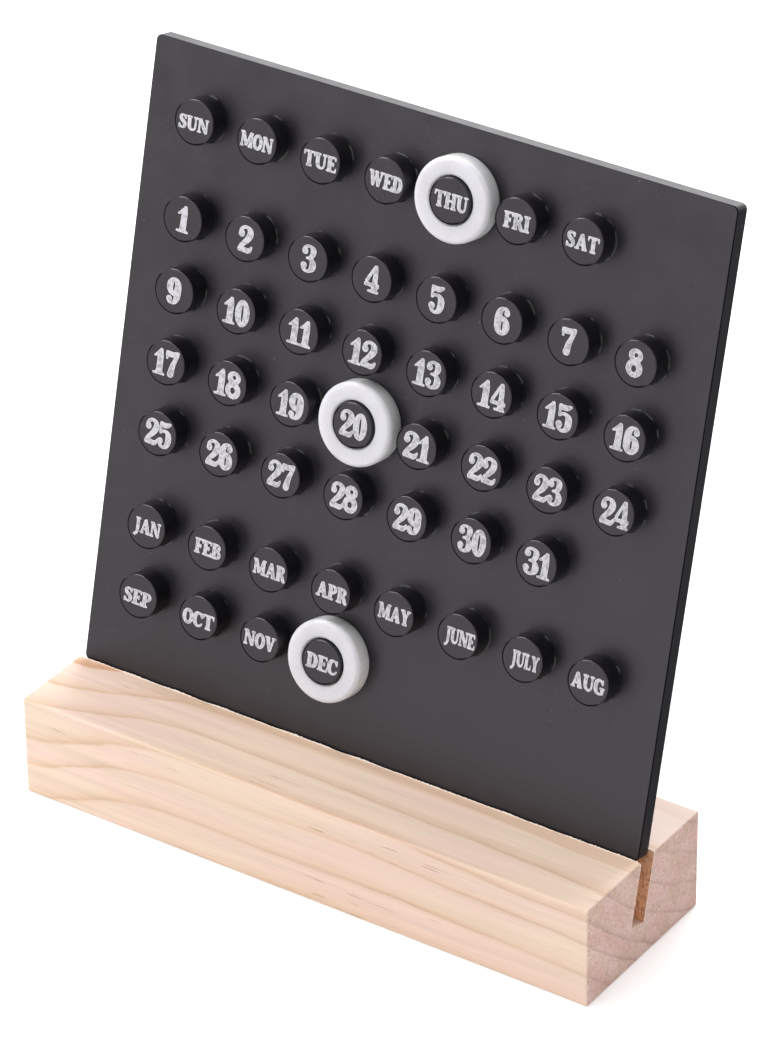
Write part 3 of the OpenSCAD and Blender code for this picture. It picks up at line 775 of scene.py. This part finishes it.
def numberPatches(text):
    widths = [label["oneWidth"] if digit == "1" else label["digitWidth"] for digit in text]
    natural = sum(widths) - label["digitLap"] * (len(text) - 1)
    squeeze = min(1.0, label["numberWidth"] / natural)
    inked, bare, x = [], [], -natural * squeeze / 2
    for digit, width in zip(text, widths):
        more, holes = characterPatches(digits[digit], (x + width * squeeze / 2, 0), (squeeze, 1))
        inked, bare = inked + more, bare + holes
        x += (width - label["digitLap"]) * squeeze
    return inked, bare


def inside(point, patch):
    found = False
    for a, b in zip(patch, patch[1:] + patch[:1]):
        if (a.y > point.y) != (b.y > point.y) and point.x < a.x + (point.y - a.y) * (b.x - a.x) / (b.y - a.y):
            found = not found
    return found


# Joins the patches of a label into one flat shape and returns its outlines
def joinedOutlines(inked, bare):
    points, edges = [], []
    for patch in inked + bare:
        start = len(points)
        points += patch
        edges += [(start + k, start + (k + 1) % len(patch)) for k in range(len(patch))]
    flat, _, triangles, _, _, _ = geometry.delaunay_2d_cdt(points, edges, [], 0, 0.002)
    sides = set()
    for corners in triangles:
        middle = sum((flat[c] for c in corners), Vector((0, 0))) / len(corners)
        if any(inside(middle, patch) for patch in inked) and not any(inside(middle, hole) for hole in bare):
            sides |= set(zip(corners, corners[1:] + corners[:1]))
    following = {}
    for a, b in sorted(sides):
        if (b, a) not in sides:
            following.setdefault(a, []).append(b)
    outlines = []
    while following:
        here, loop = next(iter(following)), []
        while here in following:
            loop.append(flat[here])
            after = following[here].pop()
            if not following[here]:
                del following[here]
            here = after
        outlines.append(loop)
    return outlines


# Evenly spaced points round an outline, with bled corners and an edge that wanders as print does
def printedOutline(outline, seed):
    lengths = [(b - a).length for a, b in zip(outline, outline[1:] + outline[:1])]
    count = max(8, round(sum(lengths) / label["step"]))
    points, k, gone = [], 0, 0.0
    for i in range(count):
        at = sum(lengths) * i / count
        while gone + lengths[k] < at:
            gone += lengths[k]
            k += 1
        points.append(outline[k].lerp(outline[(k + 1) % len(outline)], (at - gone) / lengths[k]))
    for _ in range(label["softening"]):
        points = [(a + b * 2 + c) / 4 for a, b, c in zip(points[-1:] + points, points, points[1:] + points[:1])]
    wander = lambda p: noise.noise_vector(Vector((p.x * 1.7, p.y * 1.7, seed))).to_2d() * label["wobble"]
    return [p + wander(p) for p in points]


def filledShape(outlines):
    points, edges = [], []
    for outline in outlines:
        start = len(points)
        points += outline
        edges += [(start + k, start + (k + 1) % len(outline)) for k in range(len(outline))]
    flat, _, triangles, _, _, _ = geometry.delaunay_2d_cdt(points, edges, [], 0, 0.0005)
    kept = []
    for corners in triangles:
        middle = sum((flat[c] for c in corners), Vector((0, 0))) / len(corners)
        if sum(inside(middle, outline) for outline in outlines) % 2:
            kept.append(corners)
    return flat, kept


# Lays one label on its peg's face, a little out of line as printing is
def makeLabel(node, text, chance):
    inked, bare = numberPatches(text) if text.isdigit() else wordPatches(text)
    outlines = [printedOutline(outline, chance.uniform(0, 90)) for outline in joinedOutlines(inked, bare)]
    flat, faces = filledShape(outlines)
    stray = lambda limit: chance.uniform(-limit, limit)
    nudge = label["nudges"].get(text, 0.0) + label["shift"] + stray(label["strayAcross"])
    move = Vector((nudge, label["lift"] + stray(label["strayUp"])))
    turn = Matrix.Rotation(math.radians(stray(label["strayTurn"])), 2)
    placed = [turn @ p + move for p in flat]
    middle = middleOf(node)
    base = along * middle[0] + up * middle[1] + outward * reach(node, outward)[1]
    mesh = bpy.data.meshes.new("label" + node[3:])
    mesh.from_pydata([base + (along * p.x + up * p.y) * millimetre for p in placed], [], faces)
    piece = bpy.data.objects.new("label" + node[3:], mesh)
    bpy.context.scene.collection.objects.link(piece)
    bpy.ops.object.select_all(action="DESELECT")
    piece.select_set(True)
    bpy.context.view_layer.objects.active = piece
    bpy.ops.object.mode_set(mode="EDIT")
    bpy.ops.mesh.select_all(action="SELECT")
    bpy.ops.mesh.inset(thickness=label["inset"] * millimetre, depth=label["crown"] * millimetre)
    bpy.ops.object.mode_set(mode="OBJECT")
    edge = mesh.attributes.new("rim", "FLOAT", "POINT")
    for v in mesh.vertices:
        edge.data[v.index].value = 0.0 if v.select else 1.0
    bpy.ops.object.modifier_add(type="SOLIDIFY")
    piece.modifiers[0].thickness = label["thickness"] * millimetre
    piece.modifiers[0].offset = 1.0
    bpy.ops.object.modifier_apply(modifier=piece.modifiers[0].name)
    mesh.materials.append(materials["label_ink"])
    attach(piece, "board")


def makeLabels():
    chance = random.Random(label["seed"])
    noise.seed_set(label["seed"])  # without it the wander of the edges differs from run to run
    for node in frame["nodes"]:
        if node.startswith("peg_"):
            short = node[4:]
            text = str(int(short)) if short.isdigit() else label["long"].get(short, short.upper())
            makeLabel(node, text, chance)


makeLabels()
print("labels printed on the pegs")


fibres = {
    "steps": 1500,  # along each lip of the slot
    "height": (0.05, 0.58),  # mm above the block's top
    "tuft": 0.45,  # mm, the tallest splinters
    "root": 0.12,  # mm below the block's top
    "thickness": 0.09,
    "endGap": 0.0016,  # metres of bare lip, both ends together
    "leanOver": 0.35,  # how far a fibre leans over the slot, per mm of height
    "pale": (0.97, 0.90, 0.83, 1),
    "shade": (0.84, 0.70, 0.59, 1),
}


def makeFibreMaterial():
    made, tree, shader = newMaterial("tornFibre")
    place = inMillimetres(tree)
    strand = cloud(tree, place, 1.0, 3.0, 0.6, (3.0, 1.0, 1.0))
    colour = blend(tree, remap(tree, strand, 0.45, 0.7), fibres["pale"], fibres["shade"])
    bump = addNode(tree, "Bump", {"Strength": 0.5, "Distance": 0.0001, "Height": strand})
    tree.links.new(colour, shader.inputs["Base Color"])
    tree.links.new(bump.outputs[0], shader.inputs["Normal"])
    shader.inputs["Roughness"].default_value = 0.75
    return made


# A ragged line of fibres that the blade tore up along one lip, leaning over the slot
def makeFibres(name, lip, lean, seed):
    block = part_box("base_block")
    length = block[1].x - block[0].x - fibres["endGap"]
    bpy.ops.object.select_all(action="DESELECT")
    bpy.ops.mesh.primitive_grid_add(x_subdivisions=fibres["steps"], y_subdivisions=2, size=1.0)
    piece = bpy.context.object
    piece.name = name
    low, high = fibres["height"]
    for v in piece.data.vertices:
        x = v.co.x * length / millimetre
        ragged = noise.noise(Vector((x * 2.2, seed, 0.0))) * 0.5 + 0.5
        broad = max(0.0, noise.noise(Vector((x * 0.16, seed + 9, 0.0))) * 0.9 + 0.5)
        tuft = max(0.0, noise.noise(Vector((x * 0.9, seed + 31, 4.0))) - 0.45) * 3
        tall = low + (high - low) * ragged * broad + fibres["tuft"] * tuft * ragged
        share = v.co.y + 0.5  # 0 at the root and 1 at the tip
        v.co = (x * millimetre, lip + lean * share * tall * millimetre,
                block[1].z + (share * (tall + fibres["root"]) - fibres["root"]) * millimetre)
    bpy.ops.object.modifier_add(type="SOLIDIFY")
    piece.modifiers[0].thickness = fibres["thickness"] * millimetre
    piece.modifiers[0].offset = 0.0
    bpy.ops.object.modifier_apply(modifier=piece.modifiers[0].name)
    piece.data.materials.append(materials["torn_fibre"])
    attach(piece, "stand")


# The slot's lips are the corners of the block's top that lie nearest to its middle
blockTop = reach("base_block", Vector((0, 0, 1)))[1]
corners = [v.co for v in frame["nodes"]["base_block"].data.vertices]
lips = sorted(corner.y for corner in corners if corner.z > blockTop - 1e-6 and abs(corner.y) < 0.012)
materials["torn_fibre"] = makeFibreMaterial()
makeFibres("front_lip_fibres", lips[0], fibres["leanOver"], 3.0)
makeFibres("back_lip_fibres", lips[-1], -fibres["leanOver"], 57.0)
print("torn fibres along the slot")


floorLook = {
    "size": 6.0,
    "pale": (0.86, 0.86, 0.86, 1),
    "roughness": 0.9,
    "seenByCamera": 0.3,
    "reflectedBehind": (0.12, 0.12, 0.13, 1),  # painted reflection: the floor behind is dark in mirror rays only, for the board's right edge to mirror
    "behindWay": (0.57, 0.82, 0),
    "behindFrom": (-0.02, 0.08),
    # painted reflection: what the board's face mirrors, a glow the floor gives to mirror rays only, near the
    # calendar and far from it, and its change sideways
    "glow": (0.3, 1.2, 0.21, 0.34),
    "glowSideways": (0.2, 0.9, 0.26, 0.06),
    "sidewaysWay": (1 / 0.07, -0.563 / 0.07, 0),
    "sidewaysLimits": (-1.2, 1.5),
}


def makeFloor():
    bpy.ops.object.select_all(action="DESELECT")
    bpy.ops.mesh.primitive_plane_add(size=floorLook["size"])
    floor = bpy.context.object
    floor.name = "paleFloor"
    made, tree, shader = newMaterial("floorPale")
    shader.inputs["Roughness"].default_value = floorLook["roughness"]
    path = addNode(tree, "LightPath").outputs
    place = addNode(tree, "TexCoord").outputs["Object"]
    # painted reflection: behind the calendar the floor is dark, elsewhere it glows, in mirror rays only
    behind = vectorCalc(tree, "DOT_PRODUCT", place, floorLook["behindWay"], "Value")
    behind = remap(tree, behind, *floorLook["behindFrom"])
    shaded = calc(tree, "MULTIPLY", behind, path["Is Glossy Ray"])
    colour = blend(tree, shaded, floorLook["pale"], floorLook["reflectedBehind"])
    tree.links.new(colour, shader.inputs["Base Color"])
    away = vectorCalc(tree, "LENGTH", place, output="Value")
    across = vectorCalc(tree, "DOT_PRODUCT", place, floorLook["sidewaysWay"], "Value")
    least, most = floorLook["sidewaysLimits"]
    across = addNode(tree, "Clamp", {0: across, 1: least, 2: most}).outputs[0]
    slope = calc(tree, "MULTIPLY", remap(tree, away, *floorLook["glowSideways"]), across)
    glow = calc(tree, "MAXIMUM", calc(tree, "ADD", remap(tree, away, *floorLook["glow"]), slope), 0.0)
    glow = calc(tree, "MULTIPLY", glow, calc(tree, "SUBTRACT", 1.0, behind))
    glow = calc(tree, "MULTIPLY", path["Is Glossy Ray"], glow)
    seen = calc(tree, "MULTIPLY_ADD", path["Is Camera Ray"], floorLook["seenByCamera"], glow)
    tree.links.new(seen, shader.inputs["Emission Strength"])
    shader.inputs["Emission Color"].default_value = (1, 1, 1, 1)
    floor.data.materials.append(made)


lights = {
    "key": {"place": (-0.75, -1.05, 0.75), "size": 0.9, "power": 6.2},
    "overhead": {"place": (-0.42, -0.12, 0.62), "size": 0.4, "power": 2.7},
    "backdrop": {"place": (-0.75, 1.3, 0.35), "size": 0.9, "power": 3.0},
    "behind": {"place": (-0.1, 1.0, 1.0), "size": 0.8, "power": 15.0},
}


def makeLights():
    middle = (cadBox[0] + cadBox[1]) / 2
    for name, lamp in lights.items():
        bpy.ops.object.light_add(type="AREA", location=lamp["place"])
        made = bpy.context.object
        made.name = name + "Light"
        made.data.shape = "SQUARE"
        made.data.size = lamp["size"]
        made.data.energy = lamp["power"]
        made.rotation_euler = (Vector(lamp["place"]) - middle).to_track_quat("Z", "Y").to_euler()


sky = {"onObject": 0.55, "seen": 1.0}  # strength of the white world on surfaces, and as it is seen or mirrored


def makeWorld():
    world = bpy.data.worlds.new("studio")
    bpy.context.scene.world = world
    world.use_nodes = True
    tree = world.node_tree
    path = addNode(tree, "LightPath").outputs
    mirrored = calc(tree, "MAXIMUM", path["Is Glossy Ray"], path["Is Transmission Ray"])
    seen = calc(tree, "MAXIMUM", path["Is Camera Ray"], mirrored)
    strength = remap(tree, seen, 0.0, 1.0, sky["onObject"], sky["seen"])
    tree.links.new(strength, tree.nodes["Background"].inputs["Strength"])
    tree.nodes["Background"].inputs["Color"].default_value = (1, 1, 1, 1)


makeFloor()
makeLights()
makeWorld()
bpy.context.scene.view_settings.view_transform = "Standard"
print("floor, lights and world ready")
